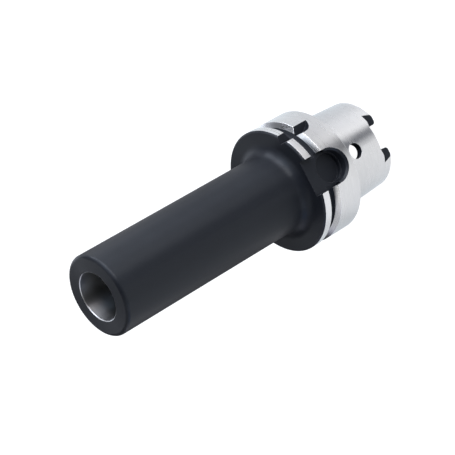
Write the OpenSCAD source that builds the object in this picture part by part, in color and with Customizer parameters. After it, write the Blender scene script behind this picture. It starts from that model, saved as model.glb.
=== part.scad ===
// Morse taper adapter: a hollow 1:10 taper shank with face contact (size 63)
// at the foot, a gripper flange above it, and a long round body whose front
// end takes a Morse taper No. 3 tool pulled in by a captive draw screw.
//
// Frame: Z is the axis, z = 0 is the end face of the hollow shank, and the
// Morse socket opens upwards. +X points through the wide flange keyway, the
// shallow drive slot and the radial access hole. Millimetres.

/* [Hollow taper shank] */
// Length of the hollow shank, from its end face to the flange contact face
shank_l = 32; // [32:1:34]
// Diameter of the taper in its gauge plane
gauge_d = 48.01; // [47.9:0.01:48.1]
// Distance of the gauge plane from the contact face
gauge_plane = 6.3; // [6:0.1:7]
// Taper ratio: length over the change in diameter
taper_ratio = 9.98; // [9.9:0.01:10.1]
// Bore at the open end that the clamping fingers enter through
finger_bore_d = 34; // [33.5:0.1:34.5]
// Diameter of the chamber behind the 30 degree clamping shoulder
chamber_d = 40; // [39:0.5:40.5]
// Distance from the contact face to the 37 mm gauge circle of the shoulder
shoulder_gauge = 18.13; // [17.5:0.01:18.5]
// Width of the two drive slots in the end of the shank
slot_w = 12.54; // [12:0.01:13]
// Depth of the drive slot on the +X side
slot_shallow = 6; // [5:0.5:7]
// Depth of the drive slot on the -X side
slot_deep = 10; // [9:0.5:11]
// Distance from the axis to the milled flat beside each slot, at its root
flat_root = 18.9; // [18.7:0.1:19.2]
// Slope of those flats, rising towards the end face, degrees
flat_slope = 8; // [6:1:9]
// Diameter of the radial access hole
access_d = 8; // [7:0.5:8.5]
// Height of the access hole below the contact face
access_drop = 9.6; // [9.4:0.1:9.8]

/* [Flange] */
// Outside diameter of the flange
flange_d = 63; // [62.5:0.1:63.5]
// Thickness of the flange
flange_t = 26; // [26:0.5:27]
// Distance from the contact face to the middle of the gripper groove
groove_pos = 18; // [17.8:0.1:18.2]
// Diameter over the bottom of the gripper groove
groove_root_d = 55; // [54.6:0.1:55.4]
// Width of the groove at the outside diameter (60 degree vee)
groove_w = 6.75; // [6.5:0.05:7]
// Edge chamfer at the contact face
rear_chamfer = 0.9; // [0.5:0.1:1]
// Edge chamfer at the front of the flange
front_chamfer = 0.8; // [0.5:0.1:1]
// Width of the wide keyway (+X)
key_wide_w = 18; // [17.8:0.1:18.2]
// Distance from the axis to the floor of the wide keyway
key_wide_h = 26.5; // [26.2:0.1:26.8]
// Width of the deep keyway (-X)
key_deep_w = 16; // [15.8:0.1:16.2]
// Distance from the axis to the floor of the deep keyway
key_deep_h = 20.1; // [20.1:0.1:20.6]
// Distance from the contact face to the centre of both round keyway ends
key_centre = 12.5; // [12.3:0.1:12.8]
// Size of the 45 degree chamfer round the end of the wide keyway
key_chamfer = 1.1; // [0.6:0.1:1.3]
// Diameter of the blind recess in the floor of the wide keyway
recess_d = 14.4; // [14:0.1:14.6]
// Depth of that recess below the floor
recess_depth = 2.4; // [1.5:0.1:4]
// Cutter diameter used for the index notch
cutter_d = 14; // [13.5:0.5:14]
// Distance from the axis to both faces of the index notch
notch_face = 20; // [19.8:0.1:20.2]

/* [Body] */
// Outside diameter of the long body
body_d = 40; // [39.6:0.1:40.3]
// Projection of the front face from the contact face
projection = 140; // [136:1:150]
// Radius of the fillet between body and flange
fillet_r = 5; // [4.5:0.5:5.5]
// Radius of the rounded front edge
front_edge_r = 1.8; // [1:0.1:2.5]

/* [Morse socket] */
// Gauge diameter of the Morse No. 3 socket, at the front face
morse_d = 23.825; // [23.8:0.005:23.85]
// Taper ratio of the socket: length over the change in diameter
morse_ratio = 19.922; // [19.9:0.001:19.95]
// Length of the taper surface
morse_taper_l = 82.2; // [80:0.1:82.4]
// Full depth of the socket
socket_l = 84; // [83:0.5:85]
// Chamfer at the mouth of the socket
mouth_chamfer = 0.3; // [0.2:0.1:0.8]

/* [Draw screw] */
// Thickness of the web between the socket and the screw chamber
web_t = 10; // [9:0.5:11]
// Diameter of the clearance hole through the web
web_hole_d = 12.5; // [12.5:0.1:13]
// Diameter of the bore that holds the screw head
head_bore_d = 17; // [17:0.1:17.2]
// Diameter of the screw head
head_d = 16.4; // [16:0.1:16.4]
// Height of the screw head
head_h = 13.2; // [13:0.1:13.3]
// Nominal thread diameter of the draw screw
thread_d = 12; // [11.9:0.1:12.1]
// Length of the screw that stands into the socket above the web
thread_out = 23; // [18:1:26]
// Width across flats of the hexagon socket
hex_af = 8; // [7:1:8]

/* [Coolant tube thread] */
// Core diameter of the M18 x 1 thread
tube_core_d = 16.92; // [16.9:0.01:17]
// Length of the thread
tube_thread_l = 12; // [10:1:13]

/* [Hidden] */
$fn = 96;
eps = 0.01;
black_oxide = [0.20, 0.21, 0.24];
ground_steel = [0.78, 0.79, 0.80];

z_face = shank_l;                         // contact face of the flange
z_front = shank_l + projection;           // front face, mouth of the socket
z_fl = z_face + flange_t;                 // front of the flange
z_groove = z_face + groove_pos;
z_key = z_face + key_centre;
z_access = z_face - access_drop;
flange_r = flange_d / 2;
body_r = body_d / 2;
end_chamfer = 0.7;

// Radius of the shank taper at height z
function shank_r(z) = gauge_d / 2 + (z - (z_face - gauge_plane)) / (2 * taper_ratio);
// Radius of the Morse socket at height z
function morse_r(z) = morse_d / 2 - (z_front - z) / (2 * morse_ratio);

// Heights of the hollow inside the shank
shoulder_z = z_face - shoulder_gauge;                       // 37 mm circle
shoulder_lo = shoulder_z - (18.5 - finger_bore_d / 2) / tan(30);
shoulder_hi = shoulder_z + (chamber_d / 2 - 18.5) / tan(30);
chamber_top = z_face - 5.5;
throat_r = 13;
cone_top = chamber_top + (chamber_d / 2 - throat_r);
tube_seat = cone_top + 2.5;                                 // seat of the coolant tube
tube_thread_top = tube_seat + tube_thread_l;

// Heights around the draw screw
socket_floor = z_front - socket_l;
web_lo = socket_floor - web_t;
ring_t = 1;
ring_groove = 1.1;
play = 0.4;
head_lo = web_lo - play - head_h;         // the head rests on the retaining ring
ring_lo = head_lo - ring_t;
ring_r = head_bore_d / 2 + 0.4;

// ---------------------------------------------------------------- profiles

// Outer outline of the turned blank, half section
module blank_profile() {
    // hollow shank with its end chamfer and the corner relief at the flange,
    // which is ground into the shank and into the contact face
    polygon([
        [0, 0],
        [shank_r(end_chamfer) - end_chamfer, 0],
        [shank_r(end_chamfer), end_chamfer],
        [shank_r(z_face - 1.8), z_face - 1.8],
        [shank_r(z_face - 1.5) - 0.3, z_face - 1.5],
        [shank_r(z_face - 1.5) - 0.3, z_face + 0.3 + eps],
        [0, z_face + 0.3 + eps]
    ]);
    // flange with the 60 degree gripper groove
    polygon([
        [0, z_face + 0.3],
        [gauge_d / 2 + 0.6, z_face + 0.3],
        [gauge_d / 2 + 0.9, z_face],
        [flange_r - rear_chamfer, z_face],
        [flange_r, z_face + rear_chamfer],
        [flange_r, z_groove - groove_w / 2],
        [groove_root_d / 2, z_groove - groove_w / 2 + (flange_r - groove_root_d / 2) * tan(30)],
        [groove_root_d / 2, z_groove + groove_w / 2 - (flange_r - groove_root_d / 2) * tan(30)],
        [flange_r, z_groove + groove_w / 2],
        [flange_r, z_fl - front_chamfer],
        [flange_r - front_chamfer, z_fl],
        [0, z_fl]
    ]);
    // fillet from the flange into the body
    difference() {
        translate([0, z_fl - eps]) square([body_r + fillet_r, fillet_r + eps]);
        translate([body_r + fillet_r, z_fl + fillet_r]) circle(r = fillet_r);
    }
    // body with its rounded front edge
    difference() {
        translate([0, z_fl - eps]) square([body_r, z_front - z_fl + eps]);
        translate([body_r - front_edge_r, z_front - front_edge_r])
            square(front_edge_r + 1);
    }
    translate([body_r - front_edge_r, z_front - front_edge_r]) circle(r = front_edge_r);
}

// Outline of everything that is hollow along the axis, half section
module hollow_profile() {
    // clamping space inside the shank, up to the seat of the coolant tube
    polygon([
        [0, -1],
        [finger_bore_d / 2 + 1.2 + 1, -1],
        [finger_bore_d / 2, 1.2],
        [finger_bore_d / 2, shoulder_lo],
        [chamber_d / 2, shoulder_hi],
        [chamber_d / 2, chamber_top],
        [throat_r, cone_top],
        [throat_r, tube_seat],
        [0, tube_seat]
    ]);
    // thread for the coolant tube, its runout, and the bore of the screw head
    polygon([
        [0, tube_seat - eps],
        [tube_core_d / 2 + 0.6, tube_seat - eps],
        [tube_core_d / 2 + 0.6, tube_seat],
        [tube_core_d / 2, tube_seat + 0.6],
        [tube_core_d / 2, tube_thread_top],
        [9.3, tube_thread_top + 0.8],
        [9.3, tube_thread_top + 2.2],
        [head_bore_d / 2, tube_thread_top + 3],
        [head_bore_d / 2, ring_lo],
        [ring_r, ring_lo],
        [ring_r, ring_lo + ring_groove],
        [head_bore_d / 2, ring_lo + ring_groove],
        [head_bore_d / 2, web_lo],
        [web_hole_d / 2 + 0.5, web_lo],
        [web_hole_d / 2, web_lo + 0.5],
        [web_hole_d / 2, socket_floor - 0.5],
        [web_hole_d / 2 + 0.5, socket_floor + eps],
        [0, socket_floor + eps]
    ]);
    // Morse socket with a relief at its bottom and a chamfered mouth
    polygon([
        [0, socket_floor],
        [morse_r(z_front - morse_taper_l) - 0.5, socket_floor],
        [morse_r(z_front - morse_taper_l), socket_floor + 0.5],
        [morse_r(z_front - morse_taper_l), z_front - morse_taper_l],
        [morse_r(z_front - mouth_chamfer), z_front - mouth_chamfer],
        [morse_r(z_front - mouth_chamfer) + mouth_chamfer + 1, z_front + 1],
        [0, z_front + 1]
    ]);
}

// ---------------------------------------------------------------- cuts

// Keyway with a round end, open towards the front of the flange
module keyway_cut(w, h, end_d) {
    translate([h, 0, z_key]) rotate([0, 90, 0]) cylinder(d = end_d, h = 20);
    translate([h, -w / 2, z_key]) cube([20, w, flange_t - key_centre + fillet_r + 1]);
}

// Ring of points round the end of the wide keyway: at radius rho from the
// part's axis and radius r from the middle of the keyway's round end
function end_ring(rho, r) = [for (i = [0:47]) let (a = i * 7.5, y = r * sin(a))
    [sqrt(rho * rho - y * y), y, z_key - r * cos(a)]];

// Chamfer round the end of the wide keyway, of even width on the round flange
module keyway_chamfer_cut() {
    in = key_chamfer + 0.05;
    out = 0.5;
    polyhedron(
        points = concat(
            end_ring(flange_r - in, key_wide_w / 2 - in),
            end_ring(flange_r + out, key_wide_w / 2 + out),
            [[flange_r - in, 0, z_key], [flange_r + 1.5, 0, z_key]]),
        faces = concat(
            [for (i = [0:47]) [i, 48 + i, 48 + (i + 1) % 48]],
            [for (i = [0:47]) [i, 48 + (i + 1) % 48, (i + 1) % 48]],
            [for (i = [0:47]) [96, i, (i + 1) % 48]],
            [for (i = [0:47]) [97, 48 + (i + 1) % 48, 48 + i]]),
        convexity = 4);
}

// Blind round recess in the floor of the wide keyway, slightly dished
module recess_cut() {
    translate([key_wide_h - recess_depth, 0, z_key - 0.2]) rotate([0, 90, 0])
        cylinder(d = recess_d, h = recess_depth + 2);
    translate([key_wide_h - recess_depth - 0.35, 0, z_key - 0.2]) rotate([0, 90, 0])
        cylinder(d1 = 0.6, d2 = recess_d, h = 0.35 + eps);
}

// Square index notch at 45 degrees, run out with the same cutter
module notch_cut() {
    translate([notch_face, notch_face + cutter_d / 2, z_key]) rotate([0, 90, 0])
        cylinder(d = cutter_d, h = 20);
    translate([notch_face, notch_face, z_key])
        cube([20, cutter_d, flange_t - key_centre + 1]);
}

// Plan of one drive slot, x across the slot and y along the axis
module slot_plan(depth) {
    difference() {
        union() {
            // the slot with small corner radii at its bottom
            translate([-slot_w / 2, -1]) square([slot_w, depth + 1 - 0.5]);
            translate([-slot_w / 2 + 0.5, -1]) square([slot_w - 1, depth + 1]);
            for (s = [-1, 1]) translate([s * (slot_w / 2 - 0.5), depth - 0.5]) circle(r = 0.5);
            // rounded mouth
            for (s = [-1, 1]) translate([s * (slot_w / 2 + 0.75), 0.25]) square([1.5 + eps, 2.5], center = true);
        }
        for (s = [-1, 1]) translate([s * (slot_w / 2 + 1.5), 1.5]) circle(r = 1.5);
    }
}

// Slot through the wall on the +X side
module slot_cut(depth) {
    translate([8, 0, 0]) rotate([90, 0, 90]) linear_extrude(height = 18) slot_plan(depth);
}

// Milled flat beside the slot: everything outside a sloping plane, and
// inside the outline that the cutter leaves around the slot
module flat_cut() {
    root_z = 5.3;
    intersection() {
        rotate([90, 0, 0]) translate([0, 0, -16]) linear_extrude(height = 32)
            polygon([
                [flat_root, 7],
                [flat_root, root_z],
                [flat_root + (root_z + 1) * tan(flat_slope), -1],
                [27, -1],
                [27, 7]
            ]);
        translate([15, 0, 0]) rotate([90, 0, 90]) linear_extrude(height = 14)
            polygon([
                [-15.5, -2], [15.5, -2], [15.5, root_z], [9.2, root_z],
                [6.2, 6.5], [-6.2, 6.5], [-9.2, root_z], [-15.5, root_z]
            ]);
    }
}

// Radial access hole, straight through both walls
module access_cut() {
    translate([-30, 0, z_access]) rotate([0, 90, 0]) cylinder(d = access_d, h = 60);
}

// ---------------------------------------------------------------- pieces

// The body: one turned, milled and ground piece
module adapter_body() {
    color(black_oxide) difference() {
        rotate_extrude() difference() {
            blank_profile();
            hollow_profile();
        }
        keyway_cut(key_wide_w, key_wide_h, key_wide_w - 2 * key_chamfer);
        keyway_chamfer_cut();
        recess_cut();
        rotate([0, 0, 180]) keyway_cut(key_deep_w, key_deep_h, key_deep_w);
        notch_cut();
        slot_cut(slot_shallow);
        flat_cut();
        rotate([0, 0, 180]) {
            slot_cut(slot_deep);
            flat_cut();
        }
        access_cut();
    }
}

// The captive draw screw, head down, thread standing into the socket
module draw_screw() {
    neck = 2;
    tip = socket_floor + thread_out;
    color(ground_steel) difference() {
        rotate_extrude() polygon([
            [0, head_lo],
            [head_d / 2 - 0.6, head_lo],
            [head_d / 2, head_lo + 0.6],
            [head_d / 2, head_lo + head_h - 0.4],
            [head_d / 2 - 0.4, head_lo + head_h],
            [thread_d / 2 - 0.05, head_lo + head_h],
            [thread_d / 2 - 0.05, socket_floor + 1],
            [thread_d / 2 - 1.1, socket_floor + 2],
            [thread_d / 2 - 1.1, socket_floor + 2 + neck],
            [thread_d / 2 - 0.12, socket_floor + 3 + neck],
            [thread_d / 2 - 0.12, tip - 1.2],
            [thread_d / 2 - 1.3, tip],
            [0, tip]
        ]);
        // hexagon socket with a drill point and a countersunk mouth
        translate([0, 0, head_lo - 1]) cylinder(d = hex_af / cos(30), h = 8, $fn = 6);
        translate([0, 0, head_lo + 7 - eps]) cylinder(d1 = hex_af - 0.4, d2 = 0.6, h = 2.2);
        translate([0, 0, head_lo - eps]) cylinder(d1 = hex_af / cos(30) + 0.4, d2 = hex_af - 0.2, h = 0.8);
    }
}

// Internal retaining ring that keeps the screw head in its bore
module retaining_ring() {
    outer = ring_r - 0.02;
    color(black_oxide) translate([0, 0, ring_lo]) linear_extrude(height = ring_t) difference() {
        union() {
            difference() {
                circle(r = outer);
                // the band is widest opposite the gap
                translate([0.45, 0]) circle(r = outer - 1.75);
            }
            // two ears beside the gap
            for (s = [-1, 1]) intersection() {
                circle(r = outer);
                rotate(s * 17) translate([outer - 2.1, 0]) circle(r = 1.9);
            }
        }
        // the gap and the plier holes
        translate([0, -0.9]) square([outer + 1, 1.8]);
        for (s = [-1, 1]) rotate(s * 17) translate([outer - 2.1, 0]) circle(d = 1.5);
    }
}

adapter_body();
draw_screw();
retaining_ring();
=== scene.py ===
import math

import bmesh
import bpy
from mathutils import Matrix, Vector


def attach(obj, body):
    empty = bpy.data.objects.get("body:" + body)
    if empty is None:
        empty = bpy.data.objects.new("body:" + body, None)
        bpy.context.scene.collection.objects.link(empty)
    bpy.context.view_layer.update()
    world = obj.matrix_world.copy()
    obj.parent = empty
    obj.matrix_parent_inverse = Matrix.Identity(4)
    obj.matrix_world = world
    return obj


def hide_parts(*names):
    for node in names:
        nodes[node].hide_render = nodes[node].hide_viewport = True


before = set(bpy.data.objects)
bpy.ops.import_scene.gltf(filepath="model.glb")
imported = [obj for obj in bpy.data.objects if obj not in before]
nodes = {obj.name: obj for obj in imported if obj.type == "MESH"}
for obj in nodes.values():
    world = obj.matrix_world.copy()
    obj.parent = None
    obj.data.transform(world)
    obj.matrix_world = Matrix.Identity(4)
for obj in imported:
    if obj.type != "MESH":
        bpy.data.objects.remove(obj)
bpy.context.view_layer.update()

MM = 0.001
scene = bpy.context.scene

# ------------------------------------------------------------------ camera
# Fitted to the picture: the axis of the part, +Z here, runs to the lower left of the view.
cam_data = bpy.data.cameras.new("camera")
cam_data.sensor_fit = "HORIZONTAL"
cam_data.sensor_width = 36.0
cam_data.lens = 137.92
cam_data.clip_start = 0.05
cam_data.clip_end = 50.0
cam = bpy.data.objects.new("camera", cam_data)
scene.collection.objects.link(cam)
R = Matrix(((0.5395568, 0.2096345, 0.8154335),
            (-0.4593764, 0.8849451, 0.0764558),
            (-0.7055861, -0.4158431, 0.5737793)))
M = R.to_4x4()
M.translation = Vector((662.534, 59.363, 558.914)) * MM
cam.matrix_world = M
scene.camera = cam

VIEW_AZ = math.radians(5.12)   # the camera's azimuth in the model frame


def polar(az, el, dist, centre=(0, 0, 0.08)):
    """A point at az degrees from the camera's azimuth, el degrees up and dist metres from centre."""
    a, e = VIEW_AZ + math.radians(az), math.radians(el)
    return Vector(centre) + dist * Vector((math.cos(a) * math.cos(e), math.sin(a) * math.cos(e), math.sin(e)))


# ------------------------------------------------------------------ node helpers
class Net:
    """Math on node sockets, for one material."""

    def __init__(self, mat):
        mat.use_nodes = True
        self.tree = mat.node_tree
        self.tree.nodes.clear()

    def new(self, kind, **props):
        n = self.tree.nodes.new(kind)
        for k, v in props.items():
            setattr(n, k, v)
        return n

    def link(self, a, b):
        self.tree.links.new(a, b)

    def put(self, socket, v):
        if isinstance(v, V):
            self.link(v.s, socket)
        elif isinstance(v, bpy.types.NodeSocket):
            self.link(v, socket)
        else:
            socket.default_value = v

    def math(self, op, *args, clamp=False):
        n = self.new("ShaderNodeMath", operation=op, use_clamp=clamp)
        for i, a in enumerate(args):
            self.put(n.inputs[i], a)
        return V(self, n.outputs[0])

    def xyz(self, x, y, z):
        n = self.new("ShaderNodeCombineXYZ")
        for i, a in enumerate((x, y, z)):
            self.put(n.inputs[i], a)
        return n.outputs[0]

    def noise(self, vector, scale, detail=2.0, rough=0.5, lac=2.0, dist=0.0):
        n = self.new("ShaderNodeTexNoise")
        self.put(n.inputs["Vector"], vector)
        n.inputs["Scale"].default_value = scale
        n.inputs["Detail"].default_value = detail
        n.inputs["Roughness"].default_value = rough
        n.inputs["Lacunarity"].default_value = lac
        n.inputs["Distortion"].default_value = dist
        return V(self, n.outputs["Fac"])

    def mix(self, fac, a, b):
        """A colour from a to b."""
        n = self.new("ShaderNodeMix", data_type="RGBA")
        self.put(n.inputs["Factor"], fac)
        self.put(n.inputs["A"], a)
        self.put(n.inputs["B"], b)
        return n.outputs["Result"]

    def lerp(self, fac, a, b):
        n = self.new("ShaderNodeMix", data_type="FLOAT")
        self.put(n.inputs["Factor"], fac)
        self.put(n.inputs["A"], a)
        self.put(n.inputs["B"], b)
        return V(self, n.outputs["Result"])

    def step(self, v, lo, hi):
        """0 below lo, 1 above hi, smooth between."""
        n = self.new("ShaderNodeMapRange", interpolation_type="SMOOTHSTEP", clamp=True)
        self.put(n.inputs["Value"], v)
        n.inputs["From Min"].default_value = lo
        n.inputs["From Max"].default_value = hi
        return V(self, n.outputs["Result"])


class V:
    def __init__(self, net, s):
        self.net, self.s = net, s

    def __add__(self, o): return self.net.math("ADD", self, o)
    __radd__ = __add__
    def __sub__(self, o): return self.net.math("SUBTRACT", self, o)
    def __rsub__(self, o): return self.net.math("SUBTRACT", o, self)
    def __mul__(self, o): return self.net.math("MULTIPLY", self, o)
    __rmul__ = __mul__
    def __truediv__(self, o): return self.net.math("DIVIDE", self, o)
    def __pow__(self, o): return self.net.math("POWER", self, o)
    def __or__(self, o): return self.net.math("MAXIMUM", self, o)
    def __and__(self, o): return self.net.math("MINIMUM", self, o)
    def __abs__(self): return self.net.math("ABSOLUTE", self)


def axis_coordinates(net):
    """Millimetres: x, y, z, r and the unit vector round the axis."""
    tc = net.new("ShaderNodeTexCoord")
    sep = net.new("ShaderNodeSeparateXYZ")
    net.link(tc.outputs["Object"], sep.inputs[0])
    x = V(net, sep.outputs[0]) * 1000.0
    y = V(net, sep.outputs[1]) * 1000.0
    z = V(net, sep.outputs[2]) * 1000.0
    r = net.math("SQRT", x * x + y * y)
    safe = r | 0.01
    return x, y, z, r, x / safe, y / safe, tc


# ------------------------------------------------------------------ materials
def body_material():
    """Black oxide over turned steel, with the working surfaces ground bright."""
    mat = bpy.data.materials.new("blackened_ground_steel")
    net = Net(mat)
    x, y, z, r, cx, cy, tc = axis_coordinates(net)
    st = net.step

    # ---- where the surface is ground
    face_normal = net.new("ShaderNodeNewGeometry")
    split = net.new("ShaderNodeSeparateXYZ")
    net.link(face_normal.outputs["True Normal"], split.inputs[0])
    nx, ny, nz = (V(net, split.outputs[i]) for i in range(3))
    turned = st(nx * cx + ny * cy + (0.0 - nz), 0.84, 0.90)
    taper_r = 24.005 + (z - 25.7) * (1 / 19.96)
    shank = st(r - taper_r, -0.20, -0.15) * st(z, 0.02, 0.06) * (1.0 - st(z, 30.35, 30.45)) * st(r, 22.0, 22.1)
    face = (1.0 - st(abs(z - 32.0), 0.04, 0.08)) * st(r, 24.6, 24.7)
    rim = st(r - ((z - 1.4) & 31.5), -0.20, -0.15) * st(z, 31.95, 31.98) * (1.0 - st(z, 46.66, 46.72)) * turned
    ring = st(r, 31.30, 31.35) * st(z, 53.33, 53.37) * (1.0 - st(z, 57.2, 57.24))
    flank_z = 46.625 + (31.5 - r) * 0.57735
    flank = (1.0 - st(abs(z - flank_z), 0.09, 0.12)) * st(r, 29.05, 29.15)
    socket = st(z, 89.2, 89.7) * (1.0 - st(r, 12.20, 12.22))
    shoulder = (1.0 - st(abs(r - (17.0 + (z - 11.27) * 0.57735)), 0.05, 0.08)) * st(z, 11.3, 11.4) * (1.0 - st(z, 16.4, 16.5))
    ground = shank | face | rim | ring | flank | socket | shoulder

    # ---- marks of turning and grinding, round the axis
    along = z + r * 0.83
    fine = net.noise(net.xyz(cx * 1.2, cy * 1.2, along * 7.0), 1.0, 3.0, 0.6)
    mid = net.noise(net.xyz(cx * 2.0, cy * 2.0, along * 1.6), 1.0, 2.0, 0.5)
    streak = net.noise(net.xyz(cx * 6.0, cy * 6.0, along * 3.2), 1.0, 2.0, 0.5)
    cloud = net.noise(net.xyz(x * 0.06, y * 0.06, z * 0.06), 1.0, 3.0, 0.55)
    grain = net.noise(net.xyz(x * 2.6, y * 2.6, z * 2.6), 1.0, 3.0, 0.6)

    # ---- edge mask: worn edges on the black oxide, and painted highlights on the ground steel edges
    bevel = net.new("ShaderNodeBevel", samples=4)
    bevel.inputs["Radius"].default_value = 0.25 * MM
    geo = net.new("ShaderNodeNewGeometry")
    dot = net.new("ShaderNodeVectorMath", operation="DOT_PRODUCT")
    net.link(bevel.outputs[0], dot.inputs[0])
    net.link(geo.outputs["Normal"], dot.inputs[1])
    edge_wear_and_highlight = st(1.0 - V(net, dot.outputs["Value"]), 0.015, 0.18)
    wear = edge_wear_and_highlight * st(grain, 0.35, 0.65) * 0.55

    # ---- colours
    black = net.mix(cloud, (0.0048, 0.0057, 0.0080, 1), (0.0075, 0.0087, 0.0118, 1))
    black = net.mix(st(grain, 0.45, 0.75) * 0.30, black, (0.014, 0.015, 0.018, 1))
    black = net.mix(wear, black, (0.10, 0.10, 0.105, 1))
    steel = net.mix(cloud, (0.572, 0.568, 0.563, 1), (0.642, 0.638, 0.633, 1))
    steel = net.mix(st(mid, 0.35, 0.7) * (0.22 - socket * 0.17), steel, (0.50, 0.497, 0.495, 1))
    steel = net.mix(st(streak, 0.55, 0.8) * (0.18 - socket * 0.16), steel, (0.68, 0.68, 0.675, 1))
    steel = net.mix(ring * 0.5, steel, (0.70, 0.697, 0.693, 1))
    # painted highlight: ground steel edges lightened to near white
    steel = net.mix(edge_wear_and_highlight * (0.9 - socket * 0.9), steel, (0.95, 0.95, 0.95, 1))
    # painted shade: the bore's ground steel gets a much darker base colour than the outside steel; the mouth chamfer
    # keeps the bright steel
    steel = net.mix(socket * (1.0 - st(z, 171.6, 171.7)), steel, net.mix(fine, (0.235, 0.234, 0.233, 1), (0.305, 0.304, 0.302, 1)))

    bsdf = net.new("ShaderNodeBsdfPrincipled")
    net.put(bsdf.inputs["Base Color"], net.mix(ground, black, steel))
    # painted highlight: edges and the rim's rear chamfer band made less metallic, so they show as a bright line
    painted_highlight_line = (edge_wear_and_highlight | (1.0 - st(z, 32.80, 32.86)) * st(z, 31.99, 32.03) * st(r, 30.58, 30.62)) * (1.0 - socket)
    net.put(bsdf.inputs["Metallic"], ground * (1.0 - painted_highlight_line * 0.55))
    wide = (1.0 - st(abs(y), 9.2, 9.6)) * st(x, 0.0, 1.0)
    groove = st(z, 46.7, 47.2) * (1.0 - st(z, 52.8, 53.3)) * (1.0 - st(r, 31.2, 31.4)) * (1.0 - wide)
    rough_black = net.lerp(cloud, 0.38, 0.44) + (grain - 0.5) * 0.10 + groove * 0.22
    rough_steel = net.lerp(mid, 0.24, 0.34) + (fine - 0.5) * (0.10 - socket * 0.06) + socket * 0.12 - flank * 0.02
    net.put(bsdf.inputs["Roughness"], net.lerp(ground, rough_black, rough_steel))
    bsdf.inputs["Specular IOR Level"].default_value = 0.20
    bsdf.inputs["Specular Tint"].default_value = (0.90, 0.96, 1.0, 1)
    bsdf.inputs["Anisotropic"].default_value = 0.75
    bsdf.inputs["Anisotropic Rotation"].default_value = 0.25
    tangent = net.new("ShaderNodeTangent", direction_type="RADIAL", axis="Z")
    net.link(tangent.outputs[0], bsdf.inputs["Tangent"])

    height = ((fine * 0.5 + mid * 0.5) * net.lerp(ground, 0.9, 1.0) + grain * net.lerp(ground, 0.8, 0.15)) * (1.0 - socket * 0.75)
    bump = net.new("ShaderNodeBump")
    bump.inputs["Strength"].default_value = 0.12
    bump.inputs["Distance"].default_value = 0.02 * MM
    net.put(bump.inputs["Height"], height)
    net.link(bevel.outputs[0], bump.inputs["Normal"])
    net.link(bump.outputs[0], bsdf.inputs["Normal"])

    out = net.new("ShaderNodeOutputMaterial")
    net.link(bsdf.outputs[0], out.inputs["Surface"])
    return mat


def small_steel(name, dark, light, rough, metallic=1.0, spec=0.5):
    """Turned steel for the screw and the ring."""
    mat = bpy.data.materials.new(name)
    net = Net(mat)
    x, y, z, r, cx, cy, tc = axis_coordinates(net)
    fine = net.noise(net.xyz(cx * 1.2, cy * 1.2, (z + r * 0.83) * 6.0), 1.0, 3.0, 0.6)
    grain = net.noise(net.xyz(x * 1.8, y * 1.8, z * 1.8), 1.0, 3.0, 0.6)
    bsdf = net.new("ShaderNodeBsdfPrincipled")
    net.put(bsdf.inputs["Base Color"], net.mix(grain, dark, light))
    bsdf.inputs["Metallic"].default_value = metallic
    net.put(bsdf.inputs["Roughness"], rough + (fine - 0.5) * 0.14 + (grain - 0.5) * 0.08)
    bsdf.inputs["Specular IOR Level"].default_value = spec
    bump = net.new("ShaderNodeBump")
    bump.inputs["Strength"].default_value = 0.15
    bump.inputs["Distance"].default_value = 0.02 * MM
    net.put(bump.inputs["Height"], fine + grain * 0.5)
    net.link(bump.outputs[0], bsdf.inputs["Normal"])
    out = net.new("ShaderNodeOutputMaterial")
    net.link(bsdf.outputs[0], out.inputs["Surface"])
    return mat


def assign(obj, mat):
    obj.data.materials.clear()
    obj.data.materials.append(mat)


body_steel = body_material()
assign(nodes["adapter_body"], body_steel)
assign(nodes["retaining_ring"], small_steel("spring_steel", (0.10, 0.10, 0.105, 1), (0.16, 0.16, 0.165, 1), 0.35, metallic=1.0))


# ------------------------------------------------------------------ draw screw and threads
TURN = 96      # points round each ring


def stack(name, rings, first=None, last=None):
    """A turned mesh from rings of TURN points. A ring is a height and a radius, or a radius for each point.
    first and last close the ends at a height on the axis."""
    verts, faces = [], []
    for z, r in rings:
        for k in range(TURN):
            a = 2 * math.pi * k / TURN
            q = r[k] if isinstance(r, (list, tuple)) else r
            verts.append((q * math.cos(a) * MM, q * math.sin(a) * MM, z * MM))
    for i in range(len(rings) - 1):
        for k in range(TURN):
            n = (k + 1) % TURN
            faces.append((i * TURN + k, (i + 1) * TURN + k, (i + 1) * TURN + n, i * TURN + n))
    for z, i in ((first, 0), (last, len(rings) - 1)):
        if z is not None:
            c = len(verts)
            verts.append((0, 0, z * MM))
            for k in range(TURN):
                n = (k + 1) % TURN
                faces.append((i * TURN + k, i * TURN + n, c) if i == 0 else (i * TURN + n, i * TURN + k, c))
    me = bpy.data.meshes.new(name)
    me.from_pydata(verts, [], faces)
    bm = bmesh.new()
    bm.from_mesh(me)
    bmesh.ops.recalc_face_normals(bm, faces=bm.faces)
    for f in bm.faces:
        f.smooth = True
    bm.to_mesh(me)
    bm.free()
    me.set_sharp_from_angle(angle=math.radians(32))
    ob = bpy.data.objects.new(name, me)
    scene.collection.objects.link(ob)
    return ob


def thread_form(z, k, pitch):
    """0 on the crest and 1 in the root of a right-hand 60 degree thread."""
    t = abs((z / pitch - k / TURN) % 1.0 - 0.5) * 2
    return min(1.0, max(0.0, (t - 0.14) / 0.62))


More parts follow.
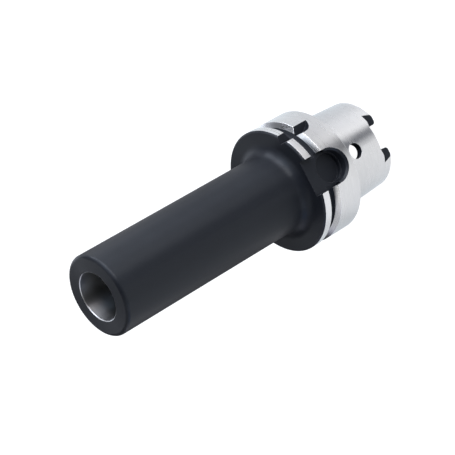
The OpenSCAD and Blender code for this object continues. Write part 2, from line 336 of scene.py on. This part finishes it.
def draw_screw():
    """Head down; M12 thread with its crest at the plain cylinder of the frame, hexagon socket in the head."""
    lo, top, tip = 64.4, 77.6, 111.0
    rings = [(tip, 4.55), (tip - 0.15, 4.70)]
    z = tip - 0.3
    while z > 93.0:
        env = min(5.88, 4.70 + (tip - z))
        rings.append((z, [min(env, 5.88 - 0.95 * thread_form(z, k, 1.75)) for k in range(TURN)]))
        z -= 0.125
    rings += [(93.0, [min(5.88 - 0.95 * thread_form(93.0, k, 1.75), 5.88) for k in range(TURN)]),
              (92.9, 4.93), (92.4, 4.9), (90.3, 4.9), (90.0, 4.95), (89.2, 5.75), (89.0, 5.93), (88.8, 5.95),
              (78.2, 5.95), (77.9, 6.0), (77.68, 6.15), (top, 6.4), (top, 7.8), (top - 0.12, 8.05), (top - 0.4, 8.2),
              (72.8, 8.2), (72.7, 8.12), (72.5, 8.12), (72.4, 8.2), (lo + 0.6, 8.2), (lo + 0.25, 8.02), (lo + 0.06, 7.75),
              (lo, 7.6), (lo, 4.85)]
    hexagon = [4.0 / math.cos(math.radians((360 * k / TURN) % 60 - 30)) for k in range(TURN)]
    for d in (0.05, 0.15, 0.25, 0.35, 0.45, 0.55, 0.65, 0.8, 1.4, 4.0, 6.9, 7.0):
        cone = 4.82 - d * 1.15
        rings.append((lo + d, [max(cone, h) for h in hexagon]))
    rings += [(lo + 7.0, 3.8), (lo + 8.6, 1.2), (lo + 9.1, 0.35)]
    return stack("draw_screw_threaded", rings, first=tip, last=lo + 9.2)


def tube_thread():
    """Crests of the M18 x 1 thread, standing on the plain bore of the frame."""
    rings, z = [], 37.9
    while z < 48.8:
        fade = min(1.0, (z - 37.9) / 0.8, (48.8 - z) / 0.8)
        rings.append((z, [8.47 - 0.22 * max(0.0, fade) * (1 - thread_form(z, k, 1.0)) for k in range(TURN)]))
        z += 0.1
    rings += [(48.8, 8.50), (37.9, 8.50), (37.9, 8.47)]
    return stack("coolant_thread_crests", rings)


screw = draw_screw()
assign(screw, small_steel("screw_steel", (0.05, 0.05, 0.053, 1), (0.10, 0.10, 0.104, 1), 0.34, metallic=0.6))
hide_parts("draw_screw")
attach(screw, "screw")
crests = tube_thread()
assign(crests, body_steel)
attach(crests, "holder")


# ------------------------------------------------------------------ floor and light
def plane(name, size_x, size_y, loc, rot=None):
    me = bpy.data.meshes.new(name)
    hx, hy = size_x / 2, size_y / 2
    me.from_pydata([(-hx, -hy, 0), (hx, -hy, 0), (hx, hy, 0), (-hx, hy, 0)], [], [(0, 1, 2, 3)])
    ob = bpy.data.objects.new(name, me)
    scene.collection.objects.link(ob)
    ob.location = loc
    if rot is not None:
        ob.rotation_euler = rot
    return ob


def floor_material():
    """A pale, evenly lit table top."""
    mat = bpy.data.materials.new("pale_floor")
    net = Net(mat)
    tc = net.new("ShaderNodeTexCoord")
    n = net.noise(tc.outputs["Object"], 60.0, 3.0, 0.5)
    bsdf = net.new("ShaderNodeBsdfPrincipled")
    net.put(bsdf.inputs["Base Color"], net.mix(n, (0.17, 0.175, 0.18, 1), (0.19, 0.195, 0.20, 1)))
    bsdf.inputs["Roughness"].default_value = 0.8
    bsdf.inputs["Specular IOR Level"].default_value = 0.1
    bsdf.inputs["Emission Color"].default_value = (0.985, 0.99, 1.0, 1)
    bsdf.inputs["Emission Strength"].default_value = 1.02
    out = net.new("ShaderNodeOutputMaterial")
    net.link(bsdf.outputs[0], out.inputs["Surface"])
    return mat


floor = plane("floor", 12.0, 12.0, (0, 0, 0))
floor.data.materials.append(floor_material())


def area(name, loc, target, size, power, color=(1, 1, 1), size_y=None):
    d = bpy.data.lights.new(name, "AREA")
    d.shape = "RECTANGLE"
    d.size, d.size_y = size, size_y or size
    d.energy = power
    d.color = color
    o = bpy.data.objects.new(name, d)
    scene.collection.objects.link(o)
    o.location = loc
    o.rotation_euler = (Vector(target) - Vector(loc)).to_track_quat("-Z", "Y").to_euler()
    return o


def aligned(x, y, z):
    """A point with x towards the camera, y to its + side and z up."""
    c, n = math.cos(VIEW_AZ), math.sin(VIEW_AZ)
    return Vector((x * c - y * n, x * n + y * c, z))


centre = (0, 0, 0.08)
# soft boxes of half a metre round the object: azimuth and elevation from its middle, and their light
for az, el, light in ((180, 12, (0.25, 0.25, 0.25)), (-120, 12, (1.29, 1.32, 1.63)), (-90, 12, (0.65, 0.95, 1.69)),
                      (-60, 12, (2.01, 2.22, 2.75)), (-30, 12, (1.05, 1.07, 1.10)), (0, 12, (0.40, 0.40, 0.40)),
                      (30, 12, (10.81, 10.53, 10.77)), (60, 12, (12.08, 12.13, 13.14)), (90, 12, (8.51, 8.91, 9.99)),
                      (120, 12, (1.24, 1.30, 1.47)), (150, 12, (1.88, 1.98, 2.20)), (180, 38, (0.80, 0.82, 0.90)), (165, 38, (0.80, 0.83, 0.91)),
                      (-120, 38, (0.70, 0.71, 0.72)), (-90, 38, (1.01, 1.00, 1.09)), (-90, 63, (1.48, 1.50, 1.51)),
                      (90, 63, (1.65, 1.70, 1.78)),
                      (0, 38, (0.28, 0.28, 0.30)), (30, 38, (0.60, 0.75, 1.10)), (60, 38, (1.60, 2.20, 3.00))):
    top = max(light)
    area("box_%d_%d" % (az % 360, el), polar(az, el, 1.1), centre, 0.5, math.pi * 0.25 * top, tuple(c / top for c in light))
area("box_top", polar(90, 80, 1.1), centre, 0.3, math.pi * 0.09 * 1.5)


def strip(name, surface, shade, colour, lift):
    """A graded dark card on the table, seen only in reflections. surface is pairs of (height, radius)
    of the wall that mirrors it, and shade is pairs of (degrees round the wall, darkness)."""
    me = bpy.data.meshes.new(name)
    slope = math.tan(math.radians(35.4))
    verts, vals = [], []
    for z, r, k in surface:
        for deg, dark in shade:
            a, b = VIEW_AZ + math.radians(deg), VIEW_AZ + math.radians(2 * deg)
            d = z / slope
            verts.append((r * math.cos(a) + d * math.cos(b), r * math.sin(a) + d * math.sin(b), lift * MM))
            vals.append(dark * k)
    n = len(shade)
    faces = [(i * n + j, i * n + j + 1, (i + 1) * n + j + 1, (i + 1) * n + j)
             for i in range(len(surface) - 1) for j in range(n - 1)]
    me.from_pydata(verts, [], faces)
    me.attributes.new("dark", "FLOAT", "POINT").data.foreach_set("value", vals)
    ob = bpy.data.objects.new(name, me)
    scene.collection.objects.link(ob)
    mat = bpy.data.materials.new(name)
    net = Net(mat)
    at = net.new("ShaderNodeAttribute", attribute_name="dark")
    clear = net.new("ShaderNodeBsdfTransparent")
    black = net.new("ShaderNodeEmission")
    black.inputs["Color"].default_value = (*colour, 1)
    mix = net.new("ShaderNodeMixShader")
    net.link(at.outputs["Fac"], mix.inputs[0])
    net.link(clear.outputs[0], mix.inputs[1])
    net.link(black.outputs[0], mix.inputs[2])
    out = net.new("ShaderNodeOutputMaterial")
    net.link(mix.outputs[0], out.inputs["Surface"])
    me.materials.append(mat)
    ob.visible_camera = False
    ob.visible_diffuse = False
    ob.visible_shadow = False
    ob.visible_transmission = False
    ob.visible_volume_scatter = False
    return ob


SHANK = [(z * MM, r * MM, k) for z, r, k in ((0.5, 23.0, 0.78), (8, 23.2, 0.80), (16, 23.6, 0.88), (24, 24.0, 0.97),
                                             (31, 24.3, 1), (34, 24.4, 1))]
SHANK_MINUS = [(z * MM, r * MM, k) for z, r, k in ((0.5, 23.0, 0.3), (8, 23.2, 0.6), (16, 23.6, 0.9), (24, 24.0, 0.9), (31, 24.3, 0.8))]
RIM = [(z * MM, 31.5 * MM, k) for z, k in ((29.3, 1), (33, 1), (40, 1), (44, 0.85), (47, 0.5), (51, 0.05), (58, 0.0))]
RIM_MINUS = [(z * MM, 31.5 * MM, k) for z, k in ((33, 1), (40, 1), (47, 1), (53, 0.85), (58, 1))]
BODY = [(z * MM, 20 * MM, k) for z, k in ((69, 0), (72, 1), (90, 1), (110, 1), (130, 1), (150, 1), (172, 1))]
FAR = [(z * MM, 20 * MM, k) for z, k in ((174, 1), (240, 1), (400, 1), (700, 0.8), (1000, 0))]
BLACK = (0, 0, 0)
strip("strip_shank", SHANK, ((-15.5, 0.0), (-6, 0.05), (-2, 0.32), (2, 0.75), (5, 1.0), (9, 1.0), (12, 0.72), (15.5, 0.22),
                             (20, 0.0), (45, 0.31), (55, 0.37), (65, 0.26), (85, 0.13)), (0.035, 0.05, 0.08), 0.4)
strip("strip_shank_minus", SHANK_MINUS, ((-85, 0.20), (-65, 0.22), (-45, 0.09), (-35, 0.10), (-16, 0.0)), BLACK, 0.4)
strip("strip_rim", RIM, ((-24.5, 0.0), (-15, 0.08), (-6, 0.50), (0, 0.82), (4, 1.0),
                         (12, 1.0), (15.5, 0.70), (20, 0.40), (27, 0.62), (35, 0.65), (45, 0.34), (55, 0.11), (85, 0.02)),
      BLACK, 0.5)
strip("strip_rim_minus", RIM_MINUS, ((-85, 0.30), (-55, 0.27), (-45, 0.04), (-25, 0.0)), BLACK, 0.5)
strip("strip_body", BODY, ((-88, 0.95), (-75, 0.84), (-65, 0.68), (-55, 0.34), (-45, 0.06), (-15, 0.0), (-5, 0.32), (5, 0.82),
                           (35, 0.72), (65, 0.58), (85, 0.62)), BLACK, 0.6)
# painted reflection: a dark card, seen only in reflections, darkens the mirrored far end of the table
strip("strip_far", FAR, ((58, 0.0), (66, 0.5), (76, 0.8), (90, 0.95), (104, 0.95), (114, 0.6), (124, 0.0)), BLACK, 0.7)

world = bpy.data.worlds.new("studio")
scene.world = world
world.use_nodes = True
bg = world.node_tree.nodes["Background"]
bg.inputs["Color"].default_value = (0.95, 0.975, 1.0, 1)
bg.inputs["Strength"].default_value = 0.01

scene.view_settings.view_transform = "Standard"
scene.view_settings.look = "None"
scene.view_settings.exposure = 0.0
scene.view_settings.gamma = 1.0
